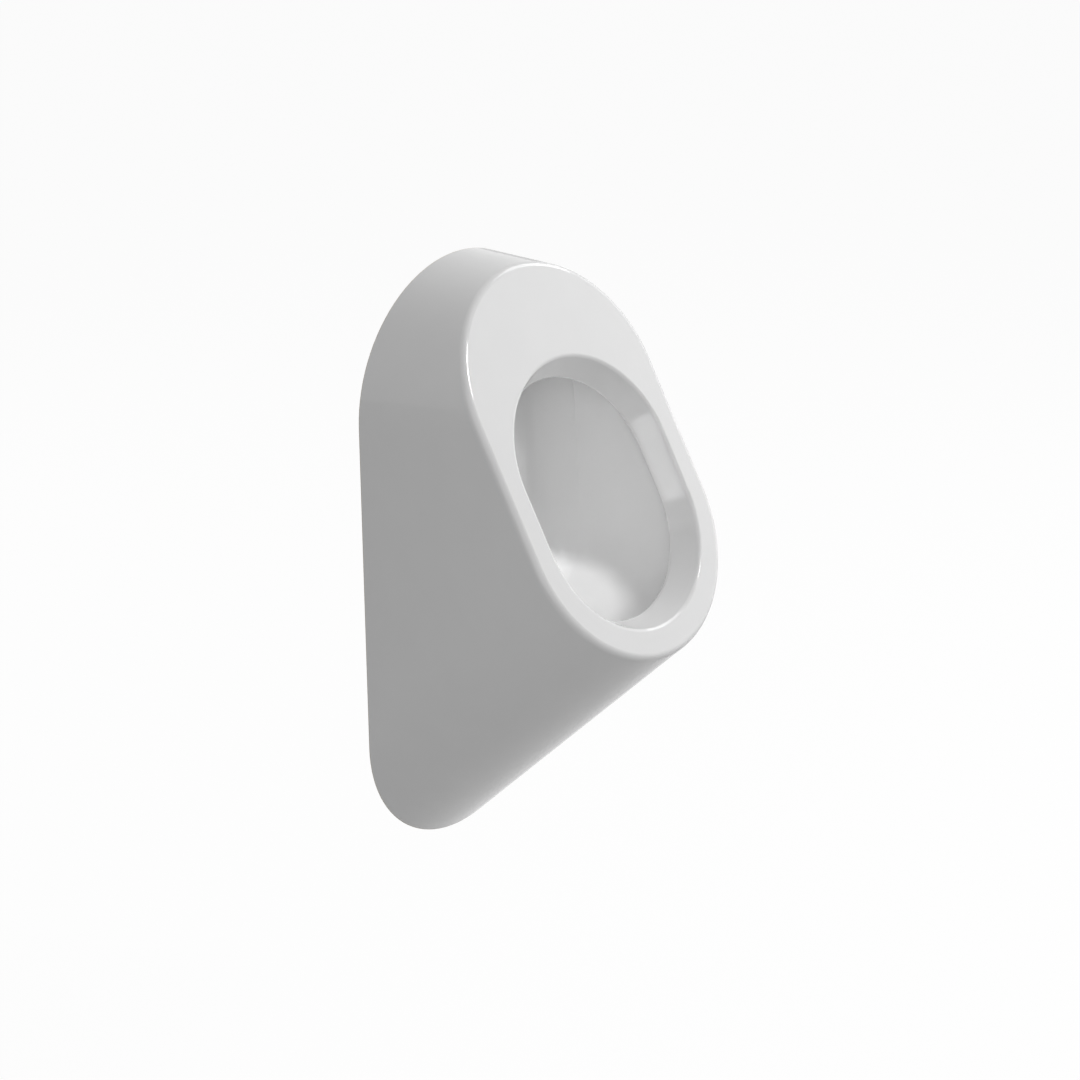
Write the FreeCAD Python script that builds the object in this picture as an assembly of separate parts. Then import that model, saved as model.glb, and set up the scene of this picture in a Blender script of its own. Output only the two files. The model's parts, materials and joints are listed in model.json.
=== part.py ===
import FreeCAD, Part
import math
import os

# Wall hung urinal with a tilted oval face, rear flush inlet and concealed rear waste.
# Millimetres. The wall is the plane y = 0, the front faces -Y, +Z is up, and z = 0 is the
# lowest point of the back. A "reach" is a distance out from the wall, towards -Y.

V = FreeCAD.Vector
Y_AXIS = V(0, 1, 0)
Z_AXIS = V(0, 0, 1)
OVERSHOOT = 1.0               # how far a cut runs past the face it opens

# ---- china body, outside ----
HEIGHT = 655.0                # back outline, an obround standing on its end
BACK_WIDTH = 300.0
FACE_WIDTH = 276.0            # flat front face, a shorter obround
FACE_LENGTH = 416.0
FACE_TILT = 30.0              # degrees off the vertical, leaning back
FACE_TOP_REACH = 78.0
FACE_TOP_FALL = 1.3           # the top falls slightly to the front
SHELL_WALL = 12.0
FACE_EDGE_R = 7.0

# ---- opening and throat ----
OPENING_WIDTH = 218.0
OPENING_TOP_MARGIN = 100.0
OPENING_BOTTOM_MARGIN = 30.0
OPENING_EDGE_R = 4.0
THROAT_DEPTH = 36.0           # square to the face
THROAT_SIDE_DRAFT = 6.0
THROAT_TOP_DRAFT = 16.0
THROAT_BOTTOM_DRAFT = 20.0
RIM_THICKNESS = 24.0          # china round the throat

# ---- bowl behind the throat ----
LIP_SIDE = 12.0               # how far the bowl widens behind the throat
LIP_BOTTOM = 16.0
LIP_TOP = 50.0
LIP_R = 5.0
BOWL_WALL = 11.0
BOWL_BACK_REACH = 57.0
BOWL_BACK_WIDTH = 160.0
BOWL_ROOF_DROP = 65.0         # bowl's roof below the top of the back
BOWL_FLOOR_DROP = 31.5        # rear of the bowl's floor below the face's lowest point
BOWL_CORNER_R = 40.0
BOWL_CORNER_STEPS = 4         # sections through the rounding
BOWL_ROOF_SHARE = 0.9         # most of the short roof that the rounding may take

# ---- waste ----
DRAIN_REACH = 90.0
DRAIN_HOLE_R = 22.5
DRAIN_WELL_R = 31.5
DRAIN_WELL_SLOPE = 12.0       # degrees off the vertical
DRAIN_WELL_DEPTH = 20.0
DRAIN_BOSS_R = 43.0
DRAIN_SEAT_THICKNESS = 14.0
WASTE_FLANGE_R = 30.0
WASTE_FLANGE_THICKNESS = 5.0
WASTE_FLANGE_BEVEL = 1.5
WASTE_TAIL_R = 20.95
WASTE_BORE_R = 17.5
WASTE_GASKET = 2.0
STRAINER_R = 24.0
STRAINER_THICKNESS = 1.5
STRAINER_DOME = 6.0
STRAINER_HOLE_R = 2.2
STRAINER_RING_RADII = (9.5, 15.5)
STRAINER_RING_COUNTS = (8, 14)
DOME_MID_REACH = 0.55         # shares of the dome's radius and rise at its middle
DOME_MID_RISE = 0.74
STRAINER_KNOB_R = 4.0
STRAINER_KNOB_HEIGHT = 7.0
STRAINER_GAP = 0.3
STRAINER_SEAT_WIDTH = 4.5

# ---- bottle trap in the hollow under the bowl ----
TRAP_R = 33.0
TRAP_WALL = 3.0
TRAP_SEAL = 3.0
TRAP_SEAL_R = 30.0
SOCKET_DEPTH = 23.0
SOCKET_WALL = 3.5
THREAD_GAP = 0.05
SPIGOT_R = 29.0
SPIGOT_LENGTH = 14.0
CUP_CORNER_R = 10.0
CUP_GAP = 0.3
CUP_SEAL = 2.0
CUP_FLOOR_GAP = 6.0
CUP_GRIPS = 12
CUP_GRIP_R = 1.6
DIP_R = 16.5
DIP_WALL = 1.8
DIP_END_GAP = 12.0
OUTLET_R = 20.0
OUTLET_WALL = 1.9
OUTLET_CLEAR = 1.0            # from the outlet's bore walls to the trap's top and cup
OUTLET_SOCKET_R = 24.5
OUTLET_SOCKET_END = 34.0      # reaches of the outlet pieces
OUTLET_SOCKET_LENGTH = 18.0
OUTLET_NUT_R = 28.5
OUTLET_NUT_LENGTH = 18.0
OUTLET_NUT_LIP = 3.0
OUTLET_SEAL = 4.0
OUTLET_PIPE_IN = 14.0         # pipe's length inside the socket
PIPE_TO_WALL = 45.0           # how far both pipes pass into the wall
BEAD_WIDTH = 3.0
BEAD_HEIGHT = 1.5
BEAD_REACH = 4.0
PIPE_GAP = 0.15

# ---- flush inlet ----
INLET_DROP = 118.0            # inlet axis below the top
INLET_HOLE_R = 12.5
INLET_POCKET_R = 24.0         # level seat for the nozzle in the bowl's back
INLET_POCKET_DEPTH = 20.0
NOZZLE_FLANGE_R = 22.0
NOZZLE_FLANGE = 3.0
NOZZLE_GASKET = 1.5
NOZZLE_CAP_R = 16.0
NOZZLE_CAP_LENGTH = 20.0
NOZZLE_CAP_ROUND = 10.0
NOZZLE_WALL = 2.0
NOZZLE_SLOT = 4.0
NOZZLE_SLOT_SETBACK = 2.0     # from the flange
NOZZLE_SLOT_TOP = 7.2         # below the nozzle's axis
NOZZLE_TAIL_R = 10.48
NOZZLE_TAIL_END = 20.0
NOZZLE_BORE_R = 7.0
BACKNUT_FLATS = 27.0
BACKNUT_THICKNESS = 7.0
BACK_WASHER_R = 17.0
BACK_WASHER = 2.5
FLUSH_PIPE_R = 7.5
FLUSH_PIPE_WALL = 1.0
FLUSH_FLANGE = 2.5
FLUSH_SEAL = 2.0
FLUSH_SEAL_R = 9.98
HEX_CORNER_CUT = 0.03         # share of a hexagon's corner turned off
HEX_CHAMFER = 0.8             # chamfer as a share of what stands outside the flats
UNION_FLATS = 24.0
UNION_LENGTH = 18.0
UNION_LIP = 3.5

# ---- hangers ----
LEDGE_DROP = 60.0             # top of the china ledge below the top
LEDGE_THICKNESS = 14.0
LEDGE_REACH = 12.0
HANGER_SPACING = 150.0
HANGER_WIDTH = 38.0
HANGER_PLATE = 4.0
HANGER_TIP_REACH = 26.0
HANGER_TIP_HEIGHT = 14.0
HANGER_LENGTH = 86.0
HANGER_BEND_R = 3.0
HANGER_PAD = 2.0
LEDGE_SLOT_PLAY = 3.0
SCREW_SPACING = 40.0
SCREW_DROP = 135.0            # lower screws below the top
SCREW_R = 4.0
SCREW_NECK_R = 3.5            # plain shank under the head
SCREW_NECK_END = 2.0          # behind the wall's face
SCREW_POINT = 6.0
SCREW_LENGTH = 50.0
SCREW_HEAD_FLATS = 13.0
SCREW_HEAD = 5.3
SCREW_SLOT_LENGTH = 20.0
SCREW_SLOT_PLAY = 0.5
WASHER_R = 9.0
WASHER = 1.6

# ---- worked out ----
TILT = math.radians(FACE_TILT)
FACE_REACH = FACE_TOP_REACH + FACE_LENGTH * math.sin(TILT)
FACE_Z = HEIGHT - FACE_TOP_FALL - FACE_LENGTH * math.cos(TILT)
OPENING_TOP = FACE_LENGTH - OPENING_TOP_MARGIN
LIP_BOTTOM_U = OPENING_BOTTOM_MARGIN + THROAT_BOTTOM_DRAFT
LIP_TOP_U = OPENING_TOP - THROAT_TOP_DRAFT
LIP_HALF_WIDTH = OPENING_WIDTH / 2 - THROAT_SIDE_DRAFT
BOWL_FLOOR_Z = FACE_Z - BOWL_FLOOR_DROP
BOWL_ROOF_Z = HEIGHT - BOWL_ROOF_DROP
BOWL_OUTER_REACH = BOWL_BACK_REACH - BOWL_WALL
SEAT_Z = BOWL_FLOOR_Z
BOSS_Z = SEAT_Z - DRAIN_SEAT_THICKNESS
TRAP_TOP = BOSS_Z - TRAP_SEAL
OUTLET_HALF = OUTLET_R + TRAP_WALL + OUTLET_CLEAR
OUTLET_Z = TRAP_TOP - OUTLET_HALF
CUP_TOP = OUTLET_Z - OUTLET_HALF
INLET_Z = HEIGHT - INLET_DROP


# ---- places ----
def on_face(u, w=0.0):
    """A point of the centre plane, u up the tilted face from its lowest point and w behind it."""
    return V(0, -FACE_REACH + u * math.sin(TILT) + w * math.cos(TILT),
             FACE_Z + u * math.cos(TILT) - w * math.sin(TILT))


def on_wall(z, reach=0.0):
    """A point of the centre plane at height z, reach out from the wall."""
    return V(0, -reach, z)


def obround(low, high, half_width):
    """A closed wire of two lines and two half circles, standing between two points."""
    length = (high - low).Length
    up = (high - low) / length

    def at(x, u):
        return low + up * u + V(x, 0, 0)
    low_mid, high_mid = half_width, length - half_width
    return Part.Wire([
        Part.Arc(at(-half_width, low_mid), at(0, 0), at(half_width, low_mid)).toShape(),
        Part.LineSegment(at(half_width, low_mid), at(half_width, high_mid)).toShape(),
        Part.Arc(at(half_width, high_mid), at(0, length), at(-half_width, high_mid)).toShape(),
        Part.LineSegment(at(-half_width, high_mid), at(-half_width, low_mid)).toShape()])


def face_obround(depth, half_width, low, high):
    return obround(on_face(low, depth), on_face(high, depth), half_width)


def wall_obround(reach, half_width, low, high):
    return obround(on_wall(low, reach), on_wall(high, reach), half_width)


def loft(*wires, ruled=True):
    return Part.makeLoft(list(wires), True, ruled)


def edges_on_face(shape, depth, half_width):
    """Edges that lie in the plane depth behind the face and no further out than half_width."""
    normal = V(0, math.cos(TILT), -math.sin(TILT))
    found = []
    for edge in shape.Edges:
        points = edge.discretize(5)
        offsets = [abs((p - on_face(0)).dot(normal) - depth) for p in points]
        if max(offsets) < 0.01 and max(abs(p.x) for p in points) < half_width + 0.01:
            found.append(edge)
    return found


def edges_on_wall(shape, reach):
    return [edge for edge in shape.Edges
            if all(abs(p.y + reach) < 0.01 for p in edge.discretize(5))]


def edges_at_height(shape, z):
    return [edge for edge in shape.Edges
            if all(abs(p.z - z) < 0.01 for p in edge.discretize(5))]


def floor_z(reach):
    """Height of the hollow's floor on the centre line, at a distance from the wall."""
    front = on_face(SHELL_WALL, SHELL_WALL)
    return SHELL_WALL + (front.z - SHELL_WALL) * reach / -front.y


# ---- simple solids ----
def pillar(radius, z_low, z_high, reach=DRAIN_REACH):
    return Part.makeCylinder(radius, z_high - z_low, V(0, -reach, z_low), Z_AXIS)


def barrel(radius, reach_in, reach_out, z, x=0.0):
    """A cylinder square to the wall, from reach_in (nearer the wall) out to reach_out."""
    return Part.makeCylinder(radius, reach_out - reach_in, V(x, -reach_out, z), Y_AXIS)


def ring(maker, outer, inner, low, high, *place):
    return maker(outer, low, high, *place).cut(maker(inner, low, high, *place))


def hexagon(flats, reach_in, reach_out, x, z):
    corner = flats / math.sqrt(3)
    points = [V(x + corner * math.cos(math.radians(a)), -reach_out,
                z + corner * math.sin(math.radians(a))) for a in range(0, 361, 60)]
    prism = Part.Face(Part.makePolygon(points)).extrude(V(0, reach_out - reach_in, 0))
    blank_r = (1 - HEX_CORNER_CUT) * corner
    blank = Part.makeCylinder(blank_r, reach_out - reach_in, V(x, -reach_out, z), Y_AXIS)
    chamfer = (blank_r - flats / 2) * HEX_CHAMFER
    return prism.common(blank.makeChamfer(chamfer, [blank.Edges[0], blank.Edges[2]]))


def block(x_low, x_high, reach_in, reach_out, z_low, z_high):
    return Part.makeBox(x_high - x_low, reach_out - reach_in, z_high - z_low,
                        V(x_low, -reach_out, z_low))


def turned(profile, centre):
    """A solid of revolution about a vertical axis, from (radius, z) corners."""
    points = [V(centre.x + r, centre.y, z) for r, z in profile]
    face = Part.Face(Part.makePolygon(points + points[:1]))
    return face.revolve(centre, Z_AXIS, 360)


def fused(shapes):
    first = shapes[0]
    return first.fuse(list(shapes[1:])).removeSplitter() if len(shapes) > 1 else first


# ---- china body ----
def outer_form():
    form = loft(wall_obround(0, BACK_WIDTH / 2, 0, HEIGHT),
                face_obround(0, FACE_WIDTH / 2, 0, FACE_LENGTH))
    return form.makeFillet(FACE_EDGE_R, edges_on_face(form, 0, FACE_WIDTH / 2))


def throat(depth_low, depth_high):
    """The drafted passage through the rim, between two depths behind the face."""
    def section(depth):
        share = depth / THROAT_DEPTH
        return face_obround(depth, OPENING_WIDTH / 2 - THROAT_SIDE_DRAFT * share,
                            OPENING_BOTTOM_MARGIN + THROAT_BOTTOM_DRAFT * share,
                            OPENING_TOP - THROAT_TOP_DRAFT * share)
    return loft(section(depth_low), section(depth_high))


def bowl(grow):
    """The chamber behind the throat, grown outwards by a wall. Its sides run straight to the
    rear, where they turn in by a quarter circle to the flat back."""
    depth = THROAT_DEPTH - grow
    front_low = on_face(LIP_BOTTOM_U - LIP_BOTTOM - grow, depth)
    front_high = on_face(LIP_TOP_U + LIP_TOP + grow, depth)
    front_half = LIP_HALF_WIDTH + LIP_SIDE + grow
    back_reach = BOWL_BACK_REACH - grow
    back_low = on_wall(BOWL_FLOOR_Z - grow, back_reach)
    back_high = on_wall(BOWL_ROOF_Z + grow, back_reach)
    back_half = BOWL_BACK_WIDTH / 2 + grow
    floor_run, roof_run = back_low.y - front_low.y, back_high.y - front_high.y
    radius = BOWL_CORNER_R + grow
    turned_in = []
    for step in range(BOWL_CORNER_STEPS + 1):
        angle = math.pi / 2 * step / BOWL_CORNER_STEPS
        before, inset = radius * (1 - math.sin(angle)), radius * (1 - math.cos(angle))
        low_share = before / floor_run
        high_share = min(before / roof_run, BOWL_ROOF_SHARE)
        low = back_low + (front_low - back_low) * low_share + Z_AXIS * inset
        high = back_high + (front_high - back_high) * high_share - Z_AXIS * inset
        half = back_half + (front_half - back_half) * low_share - inset
        turned_in.append(obround(low, high, half))
    sides = loft(obround(front_low, front_high, front_half), turned_in[0])
    return sides.fuse(loft(*turned_in, ruled=False))


def bowl_space():
    """Everything that is open from the front: the throat, the chamber and the drain well."""
    chamber = bowl(0)
    passage = throat(-OVERSHOOT, THROAT_DEPTH + OVERSHOOT)
    space = chamber.fuse(passage)
    lip = edges_on_face(space, THROAT_DEPTH, LIP_HALF_WIDTH)
    space = space.makeFillet(LIP_R, lip)
    well_top_r = DRAIN_WELL_R + DRAIN_WELL_DEPTH * math.tan(math.radians(DRAIN_WELL_SLOPE))
    well = Part.makeCone(DRAIN_WELL_R, well_top_r, DRAIN_WELL_DEPTH,
                         V(0, -DRAIN_REACH, SEAT_Z), Z_AXIS)
    return space.fuse(well)


def rear_hollow():
    """The space open to the wall, inside the shell and clear of the bowl and its ledge."""
    half = BACK_WIDTH / 2 - SHELL_WALL
    back = wall_obround(0, half, SHELL_WALL, HEIGHT - SHELL_WALL)
    behind = wall_obround(-SHELL_WALL, half, SHELL_WALL, HEIGHT - SHELL_WALL)
    front = face_obround(SHELL_WALL, FACE_WIDTH / 2 - SHELL_WALL, SHELL_WALL,
                         FACE_LENGTH - SHELL_WALL)
    hollow = loft(behind, back, front)
    rim = loft(*[face_obround(depth, OPENING_WIDTH / 2 + RIM_THICKNESS,
                              OPENING_BOTTOM_MARGIN - RIM_THICKNESS, OPENING_TOP + RIM_THICKNESS)
                 for depth in (0, THROAT_DEPTH + BOWL_WALL / 3)])
    boss = pillar(DRAIN_BOSS_R, BOSS_Z, SEAT_Z + DRAIN_BOSS_R)
    ledge_top = HEIGHT - LEDGE_DROP
    ledge = block(-BACK_WIDTH / 2, BACK_WIDTH / 2, LEDGE_REACH, BOWL_BACK_REACH,
                  ledge_top - LEDGE_THICKNESS, ledge_top)
    for x in (-HANGER_SPACING / 2, HANGER_SPACING / 2):
        half_slot = HANGER_WIDTH / 2 + HANGER_PAD + LEDGE_SLOT_PLAY
        near = HANGER_TIP_REACH - HANGER_PLATE - HANGER_PAD - LEDGE_SLOT_PLAY
        far = HANGER_TIP_REACH + HANGER_PAD + LEDGE_SLOT_PLAY
        ledge = ledge.cut(block(x - half_slot, x + half_slot, near, far,
                                ledge_top - 2 * LEDGE_THICKNESS, ledge_top + LEDGE_THICKNESS))
    return hollow.cut([bowl(BOWL_WALL), rim, boss, ledge])


def ceramic_body():
    body = outer_form().cut(rear_hollow()).cut(bowl_space())
    body = body.cut([pillar(DRAIN_HOLE_R, BOSS_Z - BOWL_WALL, SEAT_Z + BOWL_WALL),
                     barrel(INLET_POCKET_R, BOWL_BACK_REACH,
                            BOWL_BACK_REACH + INLET_POCKET_DEPTH, INLET_Z),
                     barrel(INLET_HOLE_R, BOWL_OUTER_REACH - BOWL_WALL,
                            BOWL_BACK_REACH + BOWL_WALL, INLET_Z)])
    mouth = edges_on_face(body, 0, OPENING_WIDTH / 2)
    return body.makeFillet(OPENING_EDGE_R, mouth)


# ---- waste ----
def drain_point():
    return V(0, -DRAIN_REACH, 0)


def waste_gasket():
    return ring(pillar, WASTE_FLANGE_R, DRAIN_HOLE_R, SEAT_Z, SEAT_Z + WASTE_GASKET)


def waste_flange():
    low = SEAT_Z + WASTE_GASKET
    top = low + WASTE_FLANGE_THICKNESS
    recess_r = STRAINER_R + STRAINER_GAP
    seat = low + WASTE_FLANGE_THICKNESS / 3
    tail_end = TRAP_TOP - SOCKET_DEPTH + TRAP_WALL
    return turned([(WASTE_BORE_R, tail_end), (WASTE_TAIL_R, tail_end), (WASTE_TAIL_R, low),
                   (WASTE_FLANGE_R, low), (WASTE_FLANGE_R, seat), (recess_r + WASTE_FLANGE_BEVEL, top),
                   (recess_r, top), (recess_r, seat),
                   (recess_r - STRAINER_SEAT_WIDTH, seat), (WASTE_BORE_R, low)],
                  drain_point())


def strainer():
    """A shallow perforated dome with a flat rim and a lifting knob."""
    seat = SEAT_Z + WASTE_GASKET + WASTE_FLANGE_THICKNESS / 3
    rim = seat + STRAINER_THICKNESS
    flat_r = STRAINER_R - STRAINER_SEAT_WIDTH
    dome_top = rim + STRAINER_DOME
    mid_r, mid_z = flat_r * DOME_MID_REACH, rim + STRAINER_DOME * DOME_MID_RISE
    t = STRAINER_THICKNESS

    def at(r, z):
        return V(r, -DRAIN_REACH, z)
    start = at(STRAINER_R, seat)
    profile = Part.Wire([
        Part.LineSegment(start, at(STRAINER_R, rim)).toShape(),
        Part.LineSegment(at(STRAINER_R, rim), at(flat_r, rim)).toShape(),
        Part.Arc(at(flat_r, rim), at(mid_r, mid_z), at(0, dome_top)).toShape(),
        Part.LineSegment(at(0, dome_top), at(0, dome_top - t)).toShape(),
        Part.Arc(at(0, dome_top - t), at(mid_r, mid_z - t), at(flat_r, seat)).toShape(),
        Part.LineSegment(at(flat_r, seat), start).toShape()])
    dome = Part.Face(profile).revolve(drain_point(), Z_AXIS, 360)
    holes = []
    for radius, count in zip(STRAINER_RING_RADII, STRAINER_RING_COUNTS):
        for i in range(count):
            angle = 2 * math.pi * i / count
            centre = V(radius * math.cos(angle), -DRAIN_REACH + radius * math.sin(angle),
                       seat - OVERSHOOT)
            holes.append(Part.makeCylinder(STRAINER_HOLE_R, 2 * STRAINER_DOME, centre, Z_AXIS))
    stem = pillar(STRAINER_KNOB_R / 2, dome_top - t / 2, dome_top + STRAINER_KNOB_HEIGHT)
    head = pillar(STRAINER_KNOB_R, dome_top + STRAINER_KNOB_HEIGHT / 2,
                  dome_top + STRAINER_KNOB_HEIGHT)
    head = head.makeFillet(STRAINER_KNOB_R / 4, head.Edges[:1] + head.Edges[2:])
    return fused([dome.cut(holes), stem, head])


def trap_seal():
    return ring(pillar, TRAP_SEAL_R, WASTE_TAIL_R + TRAP_SEAL / 2, TRAP_TOP, BOSS_Z)


def trap_head():
    """Bottle trap's upper half: socket for the waste, side outlet and a spigot for the cup."""
    socket_r = WASTE_TAIL_R + THREAD_GAP
    socket_out = socket_r + SOCKET_WALL
    inside = TRAP_R - TRAP_WALL
    spigot_in = SPIGOT_R - TRAP_WALL
    bottle = turned([(socket_r, TRAP_TOP), (TRAP_R, TRAP_TOP), (TRAP_R, CUP_TOP),
                     (SPIGOT_R, CUP_TOP), (SPIGOT_R, CUP_TOP - SPIGOT_LENGTH),
                     (spigot_in, CUP_TOP - SPIGOT_LENGTH), (spigot_in, CUP_TOP),
                     (inside, CUP_TOP + TRAP_WALL), (inside, TRAP_TOP - TRAP_WALL),
                     (socket_out, TRAP_TOP - TRAP_WALL), (socket_out, TRAP_TOP - SOCKET_DEPTH),
                     (socket_r, TRAP_TOP - SOCKET_DEPTH)], drain_point())
    bore_r = OUTLET_R - OUTLET_WALL
    axis_reach = DRAIN_REACH - socket_out - TRAP_WALL / 2
    shoulder = OUTLET_SOCKET_END + OUTLET_SOCKET_LENGTH
    branch = fused([barrel(OUTLET_R, shoulder - TRAP_WALL, axis_reach, OUTLET_Z),
                    barrel(OUTLET_SOCKET_R, OUTLET_SOCKET_END, shoulder, OUTLET_Z)])
    inner_space = turned([(0, CUP_TOP + TRAP_WALL), (inside, CUP_TOP + TRAP_WALL),
                          (inside, TRAP_TOP - TRAP_WALL), (0, TRAP_TOP - TRAP_WALL)],
                         drain_point())
    branch = branch.cut([inner_space,
                         barrel(OUTLET_R + PIPE_GAP, OUTLET_SOCKET_END - OVERSHOOT,
                                OUTLET_SOCKET_END + OUTLET_PIPE_IN + PIPE_GAP, OUTLET_Z)])
    head = fused([bottle, branch])
    return head.cut(barrel(bore_r, OUTLET_SOCKET_END, axis_reach, OUTLET_Z))


def cup_bottom():
    return floor_z(DRAIN_REACH + TRAP_R) + CUP_FLOOR_GAP


def trap_cup():
    bottom = cup_bottom()
    top = CUP_TOP - CUP_SEAL
    bore = SPIGOT_R + CUP_GAP
    blank = pillar(TRAP_R, bottom, top)
    blank = blank.makeFillet(CUP_CORNER_R, edges_at_height(blank, bottom))
    space = pillar(bore, bottom + TRAP_WALL, top + OVERSHOOT)
    space = space.makeFillet(CUP_CORNER_R - TRAP_WALL, edges_at_height(space, bottom + TRAP_WALL))
    grips = []
    for i in range(CUP_GRIPS):
        angle = 2 * math.pi * (i + 0.5) / CUP_GRIPS
        centre = V(TRAP_R * math.cos(angle), -DRAIN_REACH + TRAP_R * math.sin(angle),
                   bottom + CUP_CORNER_R)
        grips.append(Part.makeCylinder(CUP_GRIP_R, top - bottom, centre, Z_AXIS))
    return blank.cut(space).cut(grips)


def trap_cup_seal():
    return ring(pillar, TRAP_R - CUP_GAP, SPIGOT_R + CUP_GAP, CUP_TOP - CUP_SEAL, CUP_TOP)


def dip_tube():
    """The tube that carries the waste below the water line, hung in the socket by its collar."""
    socket_r = WASTE_TAIL_R + THREAD_GAP
    collar_top = TRAP_TOP - SOCKET_DEPTH
    low = cup_bottom() + TRAP_WALL + DIP_END_GAP
    return turned([(DIP_R - DIP_WALL, low), (DIP_R, low), (DIP_R, collar_top - TRAP_WALL),
                   (socket_r, collar_top - TRAP_WALL), (socket_r + SOCKET_WALL, collar_top - TRAP_WALL),
                   (socket_r + SOCKET_WALL, collar_top), (DIP_R - DIP_WALL, collar_top)],
                  drain_point())


def outlet_seal():
    return ring(barrel, OUTLET_SOCKET_R, OUTLET_R, OUTLET_SOCKET_END - OUTLET_SEAL,
                OUTLET_SOCKET_END, OUTLET_Z)


def outlet_nut():
    """A ribbed hand nut that draws the seal on to the outlet pipe."""
    end = OUTLET_SOCKET_END - OUTLET_SEAL - OUTLET_NUT_LIP
    inner_end = end + OUTLET_NUT_LIP
    blank = barrel(OUTLET_NUT_R, end, end + OUTLET_NUT_LENGTH, OUTLET_Z)
    grips = []
    for i in range(CUP_GRIPS):
        angle = 2 * math.pi * i / CUP_GRIPS
        grips.append(barrel(CUP_GRIP_R, end - OVERSHOOT, end + OUTLET_NUT_LENGTH + OVERSHOOT,
                            OUTLET_Z + OUTLET_NUT_R * math.sin(angle),
                            OUTLET_NUT_R * math.cos(angle)))
    bore = barrel(OUTLET_SOCKET_R + THREAD_GAP, inner_end, end + OUTLET_NUT_LENGTH + OVERSHOOT,
                  OUTLET_Z)
    mouth = barrel(OUTLET_R + PIPE_GAP, end - OVERSHOOT, inner_end + OVERSHOOT, OUTLET_Z)
    return blank.cut([bore, mouth] + grips)


def wall_pipe(radius, wall, start_reach, z):
    """A pipe into the wall, with a stop bead just in front of the wall's face."""
    pipe = fused([barrel(radius, -PIPE_TO_WALL, start_reach, z),
                  barrel(radius + BEAD_HEIGHT, BEAD_REACH, BEAD_REACH + BEAD_WIDTH, z)])
    return pipe.cut(barrel(radius - wall, -PIPE_TO_WALL - OVERSHOOT, start_reach + OVERSHOOT, z))


def outlet_pipe():
    return wall_pipe(OUTLET_R, OUTLET_WALL, OUTLET_SOCKET_END + OUTLET_PIPE_IN, OUTLET_Z)


# ---- flush inlet ----
def nozzle_gasket():
    return ring(barrel, NOZZLE_FLANGE_R, NOZZLE_TAIL_R + THREAD_GAP,
                BOWL_BACK_REACH, BOWL_BACK_REACH + NOZZLE_GASKET, INLET_Z)


def flush_nozzle():
    """Spreader: a flange against the bowl, a domed cap with a fan slot below and a threaded tail."""
    seat = BOWL_BACK_REACH + NOZZLE_GASKET
    front = seat + NOZZLE_FLANGE
    tip = front + NOZZLE_CAP_LENGTH
    cap = barrel(NOZZLE_CAP_R, front, tip, INLET_Z)
    cap = cap.makeFillet(NOZZLE_CAP_ROUND, edges_on_wall(cap, tip))
    inner_tip = tip - NOZZLE_WALL
    chamber = barrel(NOZZLE_CAP_R - NOZZLE_WALL, front, inner_tip, INLET_Z)
    chamber = chamber.makeFillet(NOZZLE_CAP_ROUND - NOZZLE_WALL, edges_on_wall(chamber, inner_tip))
    slot_start = front + NOZZLE_SLOT_SETBACK
    slot = block(-NOZZLE_CAP_R, NOZZLE_CAP_R, slot_start, slot_start + NOZZLE_SLOT,
                 INLET_Z - NOZZLE_CAP_R - OVERSHOOT, INLET_Z - NOZZLE_SLOT_TOP)
    body = fused([barrel(NOZZLE_FLANGE_R, seat, front, INLET_Z), cap,
                  barrel(NOZZLE_TAIL_R, NOZZLE_TAIL_END, seat, INLET_Z)])
    bore = barrel(NOZZLE_BORE_R, NOZZLE_TAIL_END - OVERSHOOT, front + OVERSHOOT, INLET_Z)
    return body.cut([chamber, slot, bore])


def back_washer():
    return ring(barrel, BACK_WASHER_R, NOZZLE_TAIL_R + THREAD_GAP,
                BOWL_OUTER_REACH - BACK_WASHER, BOWL_OUTER_REACH, INLET_Z)


def nozzle_backnut():
    front = BOWL_OUTER_REACH - BACK_WASHER
    nut = hexagon(BACKNUT_FLATS, front - BACKNUT_THICKNESS, front, 0, INLET_Z)
    return nut.cut(barrel(NOZZLE_TAIL_R + THREAD_GAP, 0, BOWL_BACK_REACH, INLET_Z))


def flush_seal():
    return ring(barrel, FLUSH_SEAL_R, FLUSH_PIPE_R - FLUSH_PIPE_WALL,
                NOZZLE_TAIL_END - FLUSH_SEAL, NOZZLE_TAIL_END, INLET_Z)


def flush_pipe():
    start = NOZZLE_TAIL_END - FLUSH_SEAL
    pipe = wall_pipe(FLUSH_PIPE_R, FLUSH_PIPE_WALL, start, INLET_Z)
    flange = ring(barrel, FLUSH_SEAL_R, FLUSH_PIPE_R - FLUSH_PIPE_WALL,
                  start - FLUSH_FLANGE, start, INLET_Z)
    return fused([pipe, flange])


def flush_union_nut():
    end = NOZZLE_TAIL_END - FLUSH_SEAL - FLUSH_FLANGE - UNION_LIP
    nut = hexagon(UNION_FLATS, end, end + UNION_LENGTH, 0, INLET_Z)
    return nut.cut([barrel(NOZZLE_TAIL_R + THREAD_GAP, end + UNION_LIP, BOWL_BACK_REACH, INLET_Z),
                    barrel(FLUSH_PIPE_R + PIPE_GAP, end - OVERSHOOT, BOWL_BACK_REACH, INLET_Z)])


# ---- hangers ----
def hanger_heights():
    """Top of the hook's arm and the screws' heights."""
    arm_top = HEIGHT - LEDGE_DROP - LEDGE_THICKNESS - HANGER_PAD
    low_screw = HEIGHT - SCREW_DROP
    return arm_top, (low_screw, low_screw + SCREW_SPACING)


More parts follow.
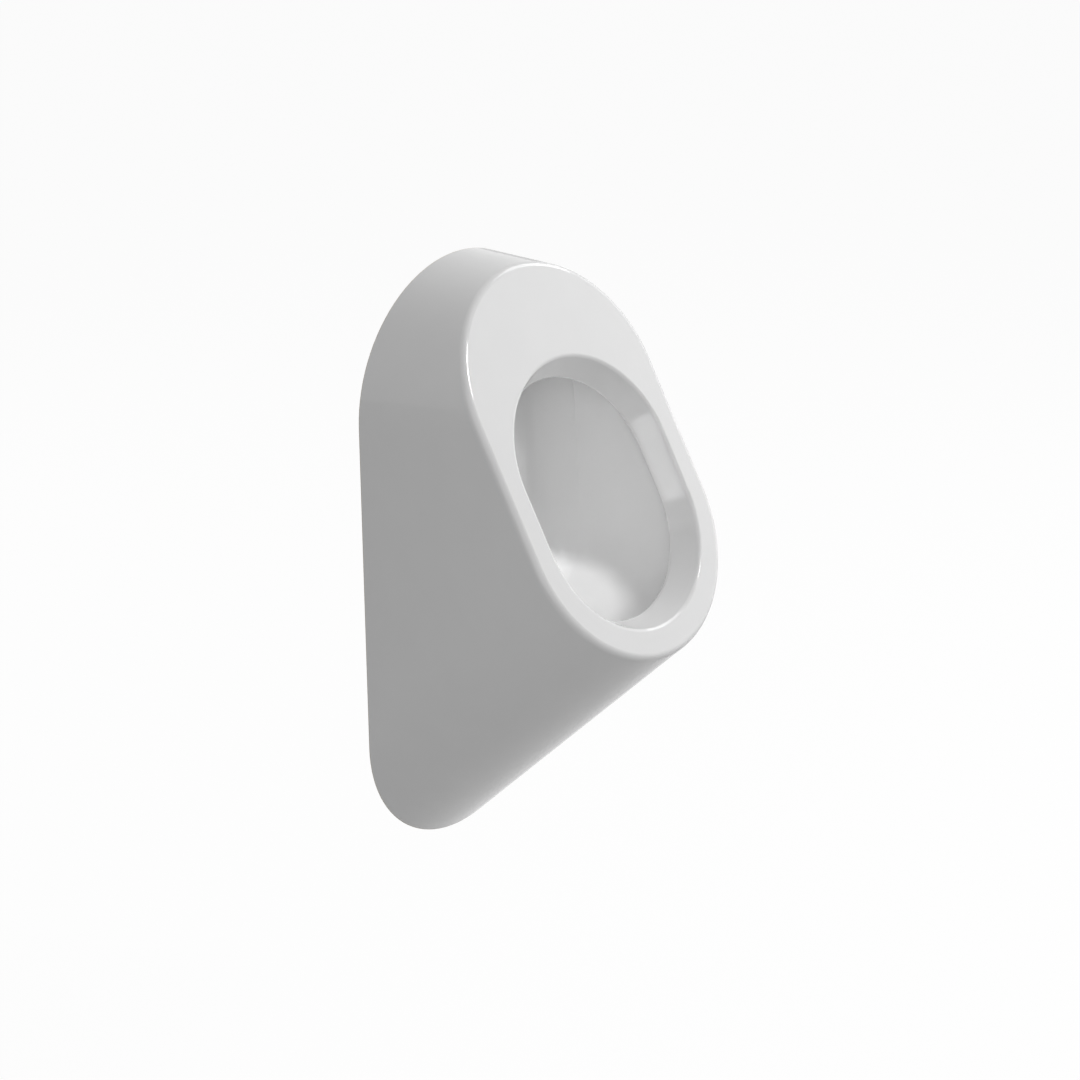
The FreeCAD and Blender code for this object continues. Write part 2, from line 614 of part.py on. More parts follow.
def wall_hanger(x):
    """A bent steel strip: a slotted plate on the wall, an arm and an upturned tip."""
    arm_top, screws = hanger_heights()
    t = HANGER_PLATE
    left, right = x - HANGER_WIDTH / 2, x + HANGER_WIDTH / 2
    strip = fused([block(left, right, 0, t, arm_top - HANGER_LENGTH, arm_top),
                   block(left, right, 0, HANGER_TIP_REACH, arm_top - t, arm_top),
                   block(left, right, HANGER_TIP_REACH - t, HANGER_TIP_REACH,
                         arm_top - t, arm_top + HANGER_TIP_HEIGHT)])
    bends = [e for e in strip.Edges if e.BoundBox.XLength > HANGER_WIDTH - 0.1
             and abs(e.BoundBox.ZMax - arm_top + t) < 0.01
             and (abs(e.BoundBox.YMax + t) < 0.01 or abs(e.BoundBox.YMax + HANGER_TIP_REACH) < 0.01)]
    strip = strip.makeFillet(HANGER_BEND_R, bends)
    slot_r = SCREW_R + SCREW_SLOT_PLAY
    half = SCREW_SLOT_LENGTH / 2 - slot_r
    for z in screws:
        near, far = -OVERSHOOT, t + OVERSHOOT
        strip = strip.cut([block(x - slot_r, x + slot_r, near, far, z - half, z + half),
                           barrel(slot_r, near, far, z - half, x),
                           barrel(slot_r, near, far, z + half, x)])
    return strip


def hanger_pad(x):
    """A nylon saddle between the hook and the china ledge."""
    arm_top, _ = hanger_heights()
    t, pad = HANGER_PLATE, HANGER_PAD
    left, right = x - HANGER_WIDTH / 2, x + HANGER_WIDTH / 2
    saddle = fused([block(left - pad, right + pad, t, HANGER_TIP_REACH + pad,
                          arm_top, arm_top + pad),
                    block(left - pad, right + pad, HANGER_TIP_REACH - t - pad,
                          HANGER_TIP_REACH + pad, arm_top, arm_top + HANGER_TIP_HEIGHT - pad)])
    return saddle.cut(block(left, right, HANGER_TIP_REACH - t, HANGER_TIP_REACH,
                            arm_top - OVERSHOOT, arm_top + HANGER_TIP_HEIGHT + OVERSHOOT))


def fixings(piece):
    """One copy of a fixing at each screw of both hangers, as separate solids."""
    _, screws = hanger_heights()
    return Part.makeCompound([piece(x, z) for x in (-HANGER_SPACING / 2, HANGER_SPACING / 2)
                              for z in screws])


def wall_washer(x, z):
    return ring(barrel, WASHER_R, SCREW_R + PIPE_GAP, HANGER_PLATE, HANGER_PLATE + WASHER, z, x)


def wall_screw(x, z):
    """A coach screw: hexagon head, plain neck through the washer and strip, thread in the wall."""
    under_head = HANGER_PLATE + WASHER
    tip = under_head - SCREW_LENGTH
    neck = barrel(SCREW_NECK_R, -SCREW_NECK_END, under_head, z, x)
    thread = barrel(SCREW_R, tip + SCREW_POINT, -SCREW_NECK_END, z, x)
    point = Part.makeCone(SCREW_R, SCREW_R / 4, SCREW_POINT, V(x, -tip - SCREW_POINT, z), Y_AXIS)
    head = hexagon(SCREW_HEAD_FLATS, under_head, under_head + SCREW_HEAD, x, z)
    return fused([neck, thread, point, head])


PIECES = {
    "ceramic_body": ceramic_body,
    "waste_gasket": waste_gasket,
    "waste_flange": waste_flange,
    "strainer": strainer,
    "trap_seal": trap_seal,
    "trap_head": trap_head,
    "dip_tube": dip_tube,
    "trap_cup_seal": trap_cup_seal,
    "trap_cup": trap_cup,
    "outlet_seal": outlet_seal,
    "outlet_nut": outlet_nut,
    "outlet_pipe": outlet_pipe,
    "nozzle_gasket": nozzle_gasket,
    "flush_nozzle": flush_nozzle,
    "back_washer": back_washer,
    "nozzle_backnut": nozzle_backnut,
    "flush_seal": flush_seal,
    "flush_union_nut": flush_union_nut,
    "flush_pipe": flush_pipe,
    "hanger_left": lambda: wall_hanger(-HANGER_SPACING / 2),
    "hanger_right": lambda: wall_hanger(HANGER_SPACING / 2),
    "hanger_pad_left": lambda: hanger_pad(-HANGER_SPACING / 2),
    "hanger_pad_right": lambda: hanger_pad(HANGER_SPACING / 2),
    "wall_washers": lambda: fixings(wall_washer),
    "wall_screws": lambda: fixings(wall_screw),
}


def main():
    os.makedirs("parts", exist_ok=True)
    for name, make in PIECES.items():
        shape = make()
        solids = shape.Solids
        print(f"{name}: {len(solids)} solid(s), {sum(s.Volume for s in solids) / 1000:.2f} cm3,"
              f" valid {shape.isValid()}")
        shape.exportStep(f"parts/{name}.step")


main()
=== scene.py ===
"""Wall hung urinal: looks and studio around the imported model.

The frame's millimetre sizes are metres here. The wall is the plane y = 0, the front faces -Y.
"""

import json
import math

import bpy
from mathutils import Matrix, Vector


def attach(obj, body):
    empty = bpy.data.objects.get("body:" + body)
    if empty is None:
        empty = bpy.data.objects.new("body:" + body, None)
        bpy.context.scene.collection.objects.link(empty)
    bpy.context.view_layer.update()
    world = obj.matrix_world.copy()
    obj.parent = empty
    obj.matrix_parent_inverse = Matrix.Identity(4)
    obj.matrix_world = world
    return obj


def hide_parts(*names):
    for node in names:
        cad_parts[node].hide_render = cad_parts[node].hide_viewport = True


bl_info = {
    "name": "Wall hung urinal",
    "version": (1, 0, 0),
    "blender": (4, 5, 0),
    "location": "3D View > Sidebar > Urinal",
    "description": "Dresses the packed urinal with its glaze and metals and lights it in a studio",
    "category": "Object",
}

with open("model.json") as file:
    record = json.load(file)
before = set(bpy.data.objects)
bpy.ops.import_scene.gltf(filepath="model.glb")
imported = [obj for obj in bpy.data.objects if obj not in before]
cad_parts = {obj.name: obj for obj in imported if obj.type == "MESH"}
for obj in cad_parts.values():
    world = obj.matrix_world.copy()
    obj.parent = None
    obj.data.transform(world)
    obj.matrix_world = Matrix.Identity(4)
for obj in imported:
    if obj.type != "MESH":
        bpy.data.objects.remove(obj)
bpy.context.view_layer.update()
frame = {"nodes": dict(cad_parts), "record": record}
MM = 0.001
LAMP_DISTANCE = 2.6
BOWL_PATCH = Vector((0.0368, -0.0916, 0.279))     # where the focused lamp lands
PATCH_RADIUS = 0.054
GLINT = Vector((0.1045, -0.181, 0.445))           # the long bright mark on the throat's side
SLIT_ROLL = 21.5                                  # degrees that the mark leans
SCREW_Y = (-10.9, -5.6, 2.0, 44.4)                # head, under the head, neck's end and tip, in mm
SCREW_PLACES = ((-75, 520), (-75, 560), (75, 520), (75, 560))     # x and z, in mm
CORNER_SHARE = 0.97                               # of a hexagon's corner that isn't turned off
HEAD_CHAMFER = (0.6, 0.5)                         # on the head's face, across and along, in mm
HEAD_EDGE = 0.2                                   # on its other face, both ways, in mm
SMOOTH_ANGLE = 32                                 # degrees up to which faces shade as one


# ---- colours and nodes ----
def linear(colour):
    """A linear RGBA colour from an sRGB hex value."""
    parts = [int(colour[i:i + 2], 16) / 255 for i in (1, 3, 5)]
    return [c / 12.92 if c <= 0.04045 else ((c + 0.055) / 1.055) ** 2.4 for c in parts] + [1.0]


def hex_of(colour):
    """The sRGB hex value of a colour property."""
    return "#" + "".join(f"{round(c * 255):02x}" for c in colour)


def rgb(colour):
    return [int(colour[i:i + 2], 16) / 255 for i in (1, 3, 5)]


def add_node(tree, kind, settings=None, links=None):
    """Adds a node, sets its options and input values, and links its inputs."""
    node = tree.nodes.new(kind)
    for name, value in (settings or {}).items():
        if hasattr(node, name):
            setattr(node, name, value)
        else:
            node.inputs[name].default_value = value
    for name, source in (links or {}).items():
        tree.links.new(source, node.inputs[name])
    return node


def new_material(name):
    """A material with an empty tree, its output and the object's own coordinates."""
    material = bpy.data.materials.new(name)
    material.use_nodes = True
    tree = material.node_tree
    tree.nodes.clear()
    place = add_node(tree, "ShaderNodeTexCoord").outputs["Object"]
    return material, tree, place


def close_material(tree, shader):
    """Links the last shader to the material's output."""
    add_node(tree, "ShaderNodeOutputMaterial", links={"Surface": shader.outputs[0]})


def noise(tree, place, size_mm, detail=2.0, roughness=0.5):
    """Noise whose grains are about size_mm across."""
    return add_node(tree, "ShaderNodeTexNoise",
                    {"Scale": 1 / (size_mm * MM), "Detail": detail, "Roughness": roughness},
                    {"Vector": place})


def between(tree, factor, low, high):
    """Maps a pattern from 0..1 to a narrow range."""
    return add_node(tree, "ShaderNodeMapRange", {"To Min": low, "To Max": high},
                    {"Value": factor}).outputs["Result"]


def two_tone(tree, factor, colour, second, amount):
    """Mixes up to amount of a second colour into the first by a pattern."""
    share = between(tree, factor, 0.0, amount)
    mix = add_node(tree, "ShaderNodeMix", {"data_type": "RGBA"})
    mix.inputs["A"].default_value = linear(colour)
    mix.inputs["B"].default_value = linear(second)
    tree.links.new(share, mix.inputs["Factor"])
    return mix.outputs["Result"]


def mixed(tree, factor, first, second):
    """Mixes two colour outputs by a factor."""
    mix = add_node(tree, "ShaderNodeMix", {"data_type": "RGBA"})
    for name, source in (("Factor", factor), ("A", first), ("B", second)):
        tree.links.new(source, mix.inputs[name])
    return mix.outputs["Result"]


def higher(tree, first, second):
    """The higher of two values."""
    node = add_node(tree, "ShaderNodeMath", {"operation": "MAXIMUM"})
    tree.links.new(first, node.inputs[0])
    tree.links.new(second, node.inputs[1])
    return node.outputs[0]


def bump(tree, height, depth_mm, strength=1.0):
    """A bumped normal whose relief is depth_mm deep."""
    return add_node(tree, "ShaderNodeBump", {"Distance": depth_mm * MM, "Strength": strength},
                    {"Height": height}).outputs["Normal"]


# ---- finishes ----
def glazed_china(colour):
    """Vitreous china under a fired white glaze: a hard clear gloss over a milky body, with the
    slow waviness of a dipped glaze. The edge that meets the wall is bare: matt and creamy, with
    the body's fine grain."""
    material, tree, place = new_material("glazed_china")
    waves = noise(tree, place, 45).outputs["Fac"]
    grain = noise(tree, place, 0.8, 3.0).outputs["Fac"]
    depth = add_node(tree, "ShaderNodeSeparateXYZ", links={"Vector": place}).outputs["Y"]
    bare = add_node(tree, "ShaderNodeMapRange", {"From Min": -0.9 * MM, "From Max": -0.5 * MM},
                    {"Value": depth}).outputs["Result"]
    gloss = between(tree, noise(tree, place, 20).outputs["Fac"], 0.03, 0.06)
    shader = add_node(tree, "ShaderNodeBsdfPrincipled",
                      {"IOR": 1.5, "Specular IOR Level": 0.4},
                      {"Base Color": mixed(tree, bare,
                                           two_tone(tree, waves, colour, "#ebebeb", 0.5),
                                           two_tone(tree, grain, "#e4dfd2", "#cfc8b8", 0.8)),
                       "Roughness": higher(tree, gloss, between(tree, bare, 0.0, 0.8)),
                       "Normal": bump(tree, waves, 0.12)})
    close_material(tree, shader)
    return material


def plated(name, colour, low, high, size_mm):
    """Bright plating: a mirror that only fine wiping marks dull."""
    material, tree, place = new_material(name)
    marks = noise(tree, place, size_mm, 4.0).outputs["Fac"]
    shader = add_node(tree, "ShaderNodeBsdfPrincipled", {"Metallic": 1.0},
                      {"Base Color": two_tone(tree, marks, colour, "#a9acaf", 0.3),
                       "Roughness": between(tree, marks, low, high)})
    close_material(tree, shader)
    return material


def turned_metal(name, colour, second, centre, flat_axis, pitch_mm, low, high):
    """Metal turned or spun on a lathe: fine rings about its axis catch the light in a band."""
    material, tree, place = new_material(name)
    centred = add_node(tree, "ShaderNodeMapping", {"Location": [-c for c in centre]},
                       {"Vector": place}).outputs[0]
    keep = [0.0 if i == flat_axis else 1.0 for i in range(3)]
    flat = add_node(tree, "ShaderNodeVectorMath", {"operation": "MULTIPLY"})
    tree.links.new(centred, flat.inputs[0])
    flat.inputs[1].default_value = keep
    radius = add_node(tree, "ShaderNodeVectorMath", {"operation": "LENGTH"})
    tree.links.new(flat.outputs[0], radius.inputs[0])
    rings = add_node(tree, "ShaderNodeTexNoise",
                     {"noise_dimensions": "1D", "Scale": 1 / (pitch_mm * MM), "Detail": 3.0},
                     {"W": radius.outputs["Value"]}).outputs["Fac"]
    shader = add_node(tree, "ShaderNodeBsdfPrincipled", {"Metallic": 1.0, "Anisotropic": 0.4},
                      {"Base Color": two_tone(tree, rings, colour, second, 0.6),
                       "Roughness": between(tree, rings, low, high),
                       "Normal": bump(tree, rings, 0.02)})
    close_material(tree, shader)
    return material


def moulded(name, colour, second, grain_mm, roughness):
    """Injection moulded plastic: even colour, a soft sheen and a fine tooled grain."""
    material, tree, place = new_material(name)
    grain = noise(tree, place, grain_mm, 3.0).outputs["Fac"]
    tone = noise(tree, place, 18).outputs["Fac"]
    shader = add_node(tree, "ShaderNodeBsdfPrincipled", {"IOR": 1.5},
                      {"Base Color": two_tone(tree, tone, colour, second, 0.5),
                       "Roughness": between(tree, grain, roughness - 0.06, roughness + 0.08),
                       "Normal": bump(tree, grain, 0.05, 0.5)})
    close_material(tree, shader)
    return material


def zinc_plate(colour):
    """Bright zinc on pressed steel: grey crystals with a slightly cloudy shine."""
    material, tree, place = new_material("zinc_plate")
    crystals = add_node(tree, "ShaderNodeTexVoronoi", {"Scale": 1 / (4 * MM)}, {"Vector": place})
    cloud = noise(tree, place, 6, 3.0).outputs["Fac"]
    shader = add_node(tree, "ShaderNodeBsdfPrincipled", {"Metallic": 1.0},
                      {"Base Color": two_tone(tree, crystals.outputs["Distance"], colour,
                                              "#8f928f", 0.6),
                       "Roughness": between(tree, cloud, 0.24, 0.42),
                       "Normal": bump(tree, cloud, 0.03)})
    close_material(tree, shader)
    return material


def finishes(colours):
    """Every material slot of the record with its finish."""
    waste = (0, -0.09, 0)
    inlet = (0, 0, 0.537)
    return {
        "glazed_china": glazed_china(hex_of(colours.glaze)),
        "rubber_black": moulded("nitrile_rubber", hex_of(colours.rubber), "#2b2b2d", 0.5, 0.62),
        "chromed_brass": plated("chrome_plate", hex_of(colours.chrome), 0.05, 0.12, 7),
        "stainless": turned_metal("spun_stainless", hex_of(colours.stainless), "#8d9093",
                                  waste, 2, 0.6, 0.2, 0.36),
        "white_polypropylene": moulded("moulded_polypropylene", hex_of(colours.trap), "#dddcd4",
                                       0.8, 0.42),
        "grey_polypropylene": moulded("extruded_polypropylene", hex_of(colours.pipe), "#7d8083",
                                      0.8, 0.45),
        "brass": turned_metal("machined_brass", hex_of(colours.brass), "#8f6d33",
                              inlet, 1, 0.5, 0.2, 0.34),
        "zinc_steel": zinc_plate(hex_of(colours.zinc)),
        "nylon_grey": moulded("moulded_nylon", hex_of(colours.nylon), "#8c8f8e", 0.8, 0.5),
        "fibre_red": moulded("vulcanised_fibre", hex_of(colours.fibre), "#5e221b", 1.2, 0.75),
    }


# ---- settings a user would change ----
def colour_property(label, words, colour):
    return bpy.props.FloatVectorProperty(name=label, description=words, subtype="COLOR_GAMMA",
                                         size=3, min=0, max=1, default=rgb(colour))


class UrinalColours(bpy.types.PropertyGroup):
    """Colours of the finishes, as sRGB"""
    glaze: colour_property("Glaze", "Colour of the fired glaze", "#f2f2f2")
    rubber: colour_property("Rubber", "Colour of the seals", "#1d1d1e")
    chrome: colour_property("Chrome", "Colour of the chrome plate", "#c9cbcd")
    stainless: colour_property("Stainless", "Colour of the strainer and flange", "#b9bbbc")
    trap: colour_property("Trap", "Colour of the bottle trap", "#e7e7e2")
    pipe: colour_property("Waste pipe", "Colour of the waste pipe", "#8b8e90")
    brass: colour_property("Brass", "Colour of the inlet's nuts", "#b5924f")
    zinc: colour_property("Zinc", "Colour of the hangers and screws", "#b4b6b3")
    nylon: colour_property("Nylon", "Colour of the hangers' pads", "#9a9c9b")
    fibre: colour_property("Fibre", "Colour of the fibre washer", "#7d2f26")


def length_property(label, words, default):
    return bpy.props.FloatProperty(name=label, description=words, default=default,
                                   unit="LENGTH", subtype="DISTANCE")


def angle_property(label, words, degrees):
    return bpy.props.FloatProperty(name=label, description=words, default=math.radians(degrees),
                                   subtype="ANGLE", unit="ROTATION")


def power_property(label, words, default):
    return bpy.props.FloatProperty(name=label, description=words, default=default, min=0,
                                   unit="POWER")


class UrinalScrews(bpy.types.PropertyGroup):
    """Sizes of the coach screws"""
    flats: length_property("Flats", "Across the flats of the head", 0.013)
    neck: length_property("Neck radius", "Radius of the plain neck under the head", 0.0035)
    crest: length_property("Crest radius", "Radius over the thread", 0.004)
    core: length_property("Core radius", "Radius under the thread", 0.0029)
    ridge: length_property("Ridge height", "Height of the thread's section, sunk root and all",
                           0.0016)
    pitch: length_property("Pitch", "Advance of the thread in a turn", 0.0036)
    turns: bpy.props.IntProperty(name="Turns", description="Turns of the thread", default=8,
                                 min=1)


class UrinalStudio(bpy.types.PropertyGroup):
    """Camera, floor and lamps"""
    distance: length_property("Camera distance", "From the camera to what it looks at", 2.3215)
    azimuth: angle_property("Camera azimuth", "Camera's turn about the vertical", -50.51)
    elevation: angle_property("Camera elevation", "Camera's height angle", 22.45)
    target: bpy.props.FloatVectorProperty(name="Target", description="Point in the frame's centre",
                                          default=(-0.00064, -0.1092, 0.3673), unit="LENGTH",
                                          subtype="XYZ")
    lens: bpy.props.FloatProperty(name="Lens", description="Focal length on a 36 mm sensor",
                                  default=75.0, unit="CAMERA")
    floor_drop: length_property("Floor drop", "Floor below the china's lowest point", 0.32)
    floor_size: length_property("Floor size", "Width of the floor", 60.0)
    shadow_share: bpy.props.FloatProperty(
        name="Shadow share", description="How much of the floor's seen white takes the shadow",
        default=0.05, min=0, max=1, subtype="FACTOR")
    key_power: power_property("Key power", "Power of the tall narrow lamp", 10.0)
    side_power: power_property("Side power", "Power of the high lamp at the right", 17.0)
    low_power: power_property("Low power", "Power of the low lamp at the right", 24.0)
    left_power: power_property("Left power", "Power of the wide lamp by the camera", 16.5)
    back_power: power_property("Back power", "Power of the lamp on the wall's side", 14.0)
    beam_power: power_property("Beam power", "Power of the narrow beam into the bowl", 175.0)
    slit_power: power_property("Slit power", "Power of the slit of light on the throat", 0.0011)
    ambient: bpy.props.FloatProperty(name="Ambient", description="Strength of the even light",
                                     default=0.25)


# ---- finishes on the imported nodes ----
class URINAL_OT_finishes(bpy.types.Operator):
    """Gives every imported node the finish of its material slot"""
    bl_idname = "urinal.finishes"
    bl_label = "Finish the fittings"

    def execute(self, context):
        made = finishes(context.scene.urinal_colours)
        for part in frame["record"]["subparts"]:
            node = frame["nodes"][part["node"]]
            node.data.materials.clear()
            node.data.materials.append(made[part["material_slot"]])
        return {"FINISHED"}


# ---- wall screws ----
def turned(name, profile, steps=32):
    """A closed solid turned about the Y axis from (radius, y) points in mm."""
    radius, y = profile[0]
    bpy.ops.object.select_all(action="DESELECT")
    bpy.ops.mesh.primitive_circle_add(vertices=steps, radius=radius * MM, fill_type="NGON",
                                      location=(0, y * MM, 0), rotation=(math.pi / 2, 0, 0))
    obj = bpy.context.object
    obj.name = name
    bpy.ops.object.transform_apply(location=True, rotation=True, scale=True)
    bpy.ops.object.mode_set(mode="EDIT")
    bpy.ops.mesh.select_all(action="SELECT")
    for next_radius, next_y in profile[1:]:
        bpy.ops.mesh.extrude_region_move(
            TRANSFORM_OT_translate={"value": (0, (next_y - y) * MM, 0)})
        share = next_radius / radius
        bpy.ops.transform.resize(value=(share, 1, share), center_override=(0, next_y * MM, 0))
        radius, y = next_radius, next_y
    bpy.ops.object.mode_set(mode="OBJECT")
    face_outward()
    return obj


def face_outward():
    """Welds the active mesh's seams and turns its faces outward."""
    bpy.ops.object.mode_set(mode="EDIT")
    bpy.ops.mesh.select_all(action="SELECT")
    bpy.ops.mesh.remove_doubles(threshold=1e-6)
    bpy.ops.mesh.normals_make_consistent(inside=False)
    bpy.ops.object.mode_set(mode="OBJECT")


def thread_ridge(crest, height, pitch, start, turns):
    """A closed three-sided ridge wound about the Y axis, in mm."""
    bpy.ops.object.select_all(action="DESELECT")
    size = height / 1.5                     # a triangle is 1.5 radii high
    bpy.ops.mesh.primitive_circle_add(vertices=3, radius=size * MM,
                                      location=((crest - size) * MM, start * MM, 0),
                                      rotation=(0, 0, -math.pi / 2))
    obj = bpy.context.object
    bpy.ops.object.transform_apply(location=True, rotation=True, scale=True)
    wind = obj.modifiers.new("wind", "SCREW")
    wind.axis = "Y"
    wind.screw_offset = pitch * MM
    wind.iterations = turns
    wind.steps = wind.render_steps = 24
    bpy.ops.object.modifier_apply(modifier=wind.name)
    bpy.ops.object.mode_set(mode="EDIT")
    bpy.ops.mesh.select_all(action="SELECT")
    bpy.ops.mesh.fill_holes(sides=3)
    bpy.ops.object.mode_set(mode="OBJECT")
    face_outward()
    return obj


def hexagon_head(flats, start, end):
    """A bolt head about the Y axis whose corners are turned off, in mm."""
    corner = flats / math.sqrt(3)
    bpy.ops.object.select_all(action="DESELECT")
    bpy.ops.mesh.primitive_cylinder_add(vertices=6, radius=corner * MM, depth=(end - start) * MM,
                                        location=(0, (start + end) / 2 * MM, 0),
                                        rotation=(math.pi / 2, 0, 0))
    head = bpy.context.object
    bpy.ops.object.transform_apply(location=True, rotation=True, scale=True)
    bpy.ops.object.mode_set(mode="EDIT")
    bpy.ops.mesh.select_all(action="SELECT")
    bpy.ops.transform.rotate(value=math.pi / 6, orient_axis="Y",
                             center_override=(0, (start + end) / 2 * MM, 0))
    bpy.ops.object.mode_set(mode="OBJECT")
    cut = CORNER_SHARE * corner
    across, along = HEAD_CHAMFER
    blank = turned("blank", [(cut - across, start), (cut, start + along), (cut, end - HEAD_EDGE),
                             (cut - HEAD_EDGE, end)], 48)
    unite(head, blank, "INTERSECT")
    return head


def unite(obj, other, operation="UNION"):
    """Joins, or keeps the common part of, two closed meshes."""
    bpy.ops.object.select_all(action="DESELECT")
    obj.select_set(True)
    bpy.context.view_layer.objects.active = obj
    both = obj.modifiers.new("both", "BOOLEAN")
    both.operation = operation
    both.solver = "EXACT"
    both.object = other
    bpy.ops.object.modifier_apply(modifier=both.name)
    bpy.data.objects.remove(other)


class URINAL_OT_screws(bpy.types.Operator):
    """Cuts the thread on the coach screws of the hangers"""
    bl_idname = "urinal.screws"
    bl_label = "Thread the wall screws"

    def execute(self, context):
        sizes = context.scene.urinal_screws
        neck, crest, core = (round(r / MM, 4) for r in (sizes.neck, sizes.crest, sizes.core))
        head_top, under, neck_end, tip = SCREW_Y
        screw = turned("coach_screws", [(neck, under - 1), (neck, neck_end),
                                        (crest, neck_end + 0.5), (crest, neck_end + 4),
                                        (core, neck_end + 5.2), (core, tip - 7),
                                        (0.8, tip - 0.8), (0.2, tip)])
        ridge = round(sizes.ridge / MM, 4)
        pitch = round(sizes.pitch / MM, 4)
        unite(screw, thread_ridge(crest, ridge, pitch, neck_end + 6.5, sizes.turns))
        unite(screw, hexagon_head(round(sizes.flats / MM, 4), head_top, under))
        copies = []
        for x, z in SCREW_PLACES:
            copy = bpy.data.objects.new("copy", screw.data.copy())
            context.collection.objects.link(copy)
            copy.location = (x * MM, 0, z * MM)
            copies.append(copy)
        bpy.data.objects.remove(screw)
        bpy.ops.object.select_all(action="DESELECT")
        for copy in copies:
            copy.select_set(True)
        context.view_layer.objects.active = copies[0]
        bpy.ops.object.transform_apply(location=True, rotation=True, scale=True)
        bpy.ops.object.join()
        screws = context.object
        screws.name = "coach_screws"
        bpy.ops.object.shade_smooth_by_angle(angle=math.radians(SMOOTH_ANGLE))
        screws.data.materials.clear()
        screws.data.materials.append(bpy.data.materials["zinc_plate"])
        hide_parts("wall_screws")
        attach(screws, "urinal")
        return {"FINISHED"}


# ---- studio ----
def either(tree, *rays):
    """One for any of the named kinds of ray, else nought."""
    path = add_node(tree, "ShaderNodeLightPath")
    total = path.outputs[rays[0]]
    for ray in rays[1:]:
        total = higher(tree, total, path.outputs[ray])
    return total


def mix_shaders(tree, factor, first, second):
    mix = add_node(tree, "ShaderNodeMixShader")
    tree.links.new(factor, mix.inputs[0])
    tree.links.new(first.outputs[0], mix.inputs[1])
    tree.links.new(second.outputs[0], mix.inputs[2])
    return mix


def floor_material(studio):
    """Matt paint that throws little light back. Cameras see it near white, with the object's
    soft shadow, and mirrors see half of its shade."""
    material, tree, _ = new_material("matt_floor_paint")
    paint = add_node(tree, "ShaderNodeBsdfDiffuse", {"Color": linear("#9c9c9c")})
    thin = add_node(tree, "ShaderNodeBsdfDiffuse", {"Color": linear("#ffffff")})
    glow = add_node(tree, "ShaderNodeEmission", {"Color": linear("#ffffff"), "Strength": 1.0})
    seen = mix_shaders(tree, between(tree, either(tree, "Is Camera Ray"), 0.5,
                                     1.0 - studio.shadow_share), thin, glow)
    rays = either(tree, "Is Camera Ray", "Is Glossy Ray", "Is Transmission Ray")
    close_material(tree, mix_shaders(tree, rays, paint, seen))
    return material


def aim(obj, target):
    obj.rotation_euler = (Vector(target) - obj.location).to_track_quat("-Z", "Y").to_euler()


def around(target, azimuth, elevation, distance):
    """A place at a compass angle and a height angle from the target; azimuth 0 is the front."""
    a, e = math.radians(azimuth), math.radians(elevation)
    return target + distance * Vector((math.sin(a) * math.cos(e), -math.cos(a) * math.cos(e),
                                       math.sin(e)))


def lamp(name, place, target, size, power, spread=180):
    data = bpy.data.lights.new(name, "AREA")
    data.shape = "RECTANGLE"
    data.size, data.size_y = size
    data.energy = power
    data.spread = math.radians(spread)
    light = bpy.data.objects.new(name, data)
    bpy.context.collection.objects.link(light)
    light.location = place
    aim(light, target)
    return light


def beam(name, place, target, radius, power):
    """A focused lamp that lights a disc of the given radius where it lands."""
    data = bpy.data.lights.new(name, "SPOT")
    data.energy = power
    data.spot_size = 2 * math.atan(radius / (place - target).length)
    data.spot_blend = 0.15
    data.shadow_soft_size = 0.01
    light = bpy.data.objects.new(name, data)
    bpy.context.collection.objects.link(light)
    light.location = place
    aim(light, target)
    return light


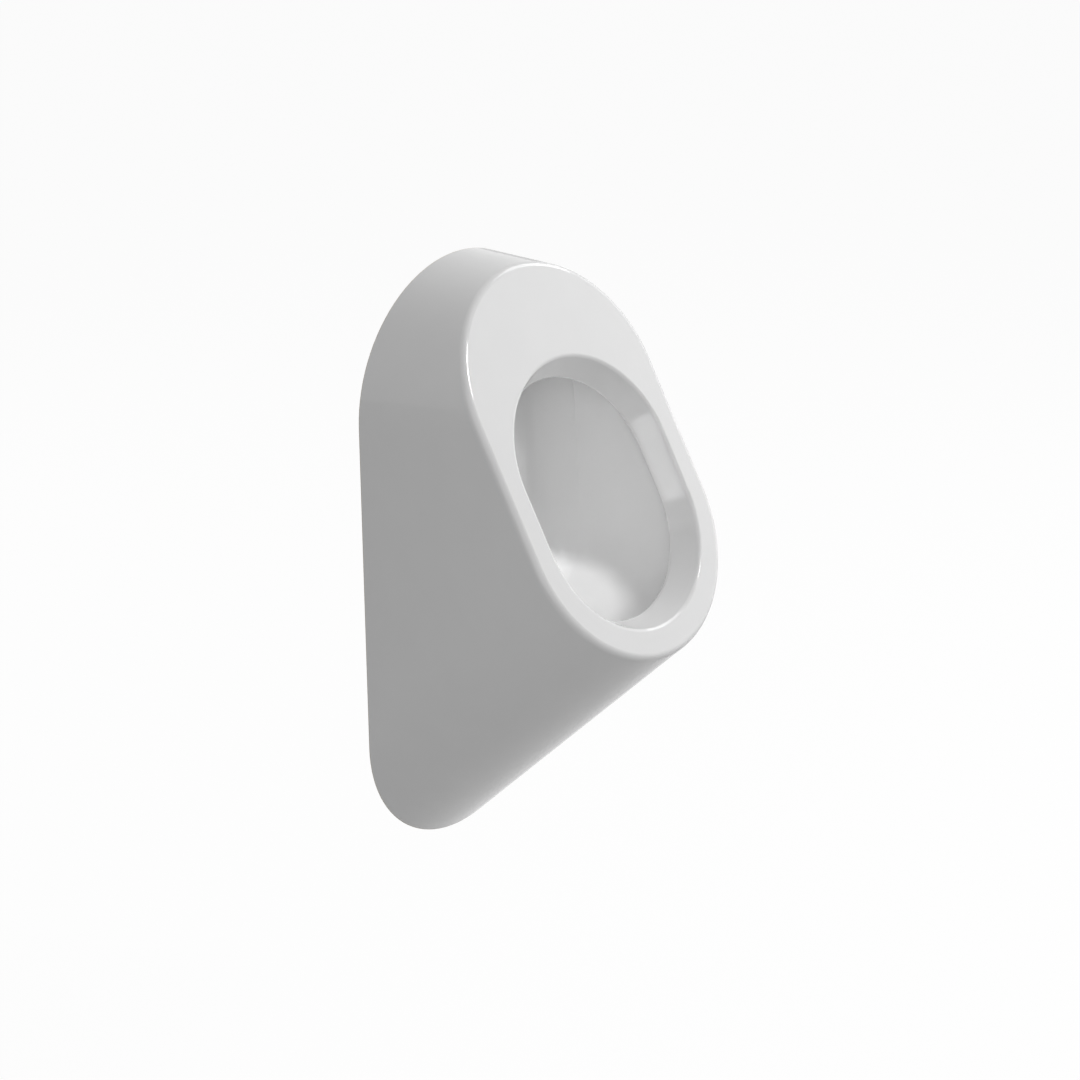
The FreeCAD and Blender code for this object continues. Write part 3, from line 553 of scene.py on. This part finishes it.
class URINAL_OT_stage(bpy.types.Operator):
    """Adds the floor, the even light, the lamps and the camera"""
    bl_idname = "urinal.stage"
    bl_label = "Set the studio"

    def execute(self, context):
        studio = context.scene.urinal_studio
        bpy.ops.object.select_all(action="DESELECT")
        bpy.ops.mesh.primitive_plane_add(size=studio.floor_size,
                                         location=(0, 0, -studio.floor_drop))
        floor = context.object
        floor.name = "floor"
        floor.data.materials.append(floor_material(studio))
        self.world(context, studio)
        target = Vector(studio.target)
        for name, azimuth, elevation, size, power in (
                ("key", 32, 40, (0.12, 0.5), studio.key_power),
                ("side", 80, 42, (1.1, 1.1), studio.side_power),
                ("low", 58, 14, (2.6, 2.6), studio.low_power),
                ("left", -50, 20, (2.2, 2.2), studio.left_power),
                ("back", 180, 22, (2.2, 2.2), studio.back_power)):
            lamp(name, around(target, azimuth, elevation, LAMP_DISTANCE), target, size, power)
        beam("beam", around(BOWL_PATCH, -20, 35, LAMP_DISTANCE), BOWL_PATCH, PATCH_RADIUS,
             studio.beam_power)
        slit = lamp("slit", around(GLINT, -48, 20, 0.6), GLINT, (0.021, 0.092),
                    studio.slit_power, 1)
        slit.rotation_euler.rotate_axis("Z", math.radians(SLIT_ROLL))
        slit.visible_camera = slit.visible_glossy = False
        data = bpy.data.cameras.new("camera")
        data.lens = studio.lens
        data.sensor_width = 36.0
        camera = bpy.data.objects.new("camera", data)
        context.collection.objects.link(camera)
        flat = studio.distance * math.cos(studio.elevation)
        camera.location = target + Vector((flat * math.sin(studio.azimuth),
                                           -flat * math.cos(studio.azimuth),
                                           studio.distance * math.sin(studio.elevation)))
        aim(camera, target)
        context.scene.camera = camera
        context.scene.view_settings.view_transform = "Standard"
        return {"FINISHED"}

    def world(self, context, studio):
        """White for the camera and for mirrors, a plain grey level for the light."""
        world = bpy.data.worlds.new("studio")
        context.scene.world = world
        world.use_nodes = True
        tree = world.node_tree
        tree.nodes.clear()
        rays = either(tree, "Is Camera Ray", "Is Glossy Ray", "Is Transmission Ray")
        back = add_node(tree, "ShaderNodeBackground", {"Color": linear("#ffffff")},
                        {"Strength": between(tree, rays, studio.ambient, 1.0)})
        add_node(tree, "ShaderNodeOutputWorld", links={"Surface": back.outputs[0]})


class URINAL_PT_panel(bpy.types.Panel):
    """Lists the steps and their settings"""
    bl_label = "Urinal"
    bl_idname = "URINAL_PT_panel"
    bl_space_type = "VIEW_3D"
    bl_region_type = "UI"
    bl_category = "Urinal"

    def draw(self, context):
        for step in STEPS:
            self.layout.operator(step.bl_idname)
        scene = context.scene
        for group in (scene.urinal_colours, scene.urinal_screws, scene.urinal_studio):
            for name in group.__annotations__:
                self.layout.prop(group, name)


STEPS = (URINAL_OT_finishes, URINAL_OT_screws, URINAL_OT_stage)
CLASSES = (UrinalColours, UrinalScrews, UrinalStudio) + STEPS + (URINAL_PT_panel,)


def register():
    for item in CLASSES:
        bpy.utils.register_class(item)
    bpy.types.Scene.urinal_colours = bpy.props.PointerProperty(type=UrinalColours)
    bpy.types.Scene.urinal_screws = bpy.props.PointerProperty(type=UrinalScrews)
    bpy.types.Scene.urinal_studio = bpy.props.PointerProperty(type=UrinalStudio)


def unregister():
    del bpy.types.Scene.urinal_studio
    del bpy.types.Scene.urinal_screws
    del bpy.types.Scene.urinal_colours
    for item in reversed(CLASSES):
        bpy.utils.unregister_class(item)


def main():
    register()
    bpy.ops.urinal.finishes()
    bpy.ops.urinal.screws()
    bpy.ops.urinal.stage()


if __name__ == "__main__":
    main()
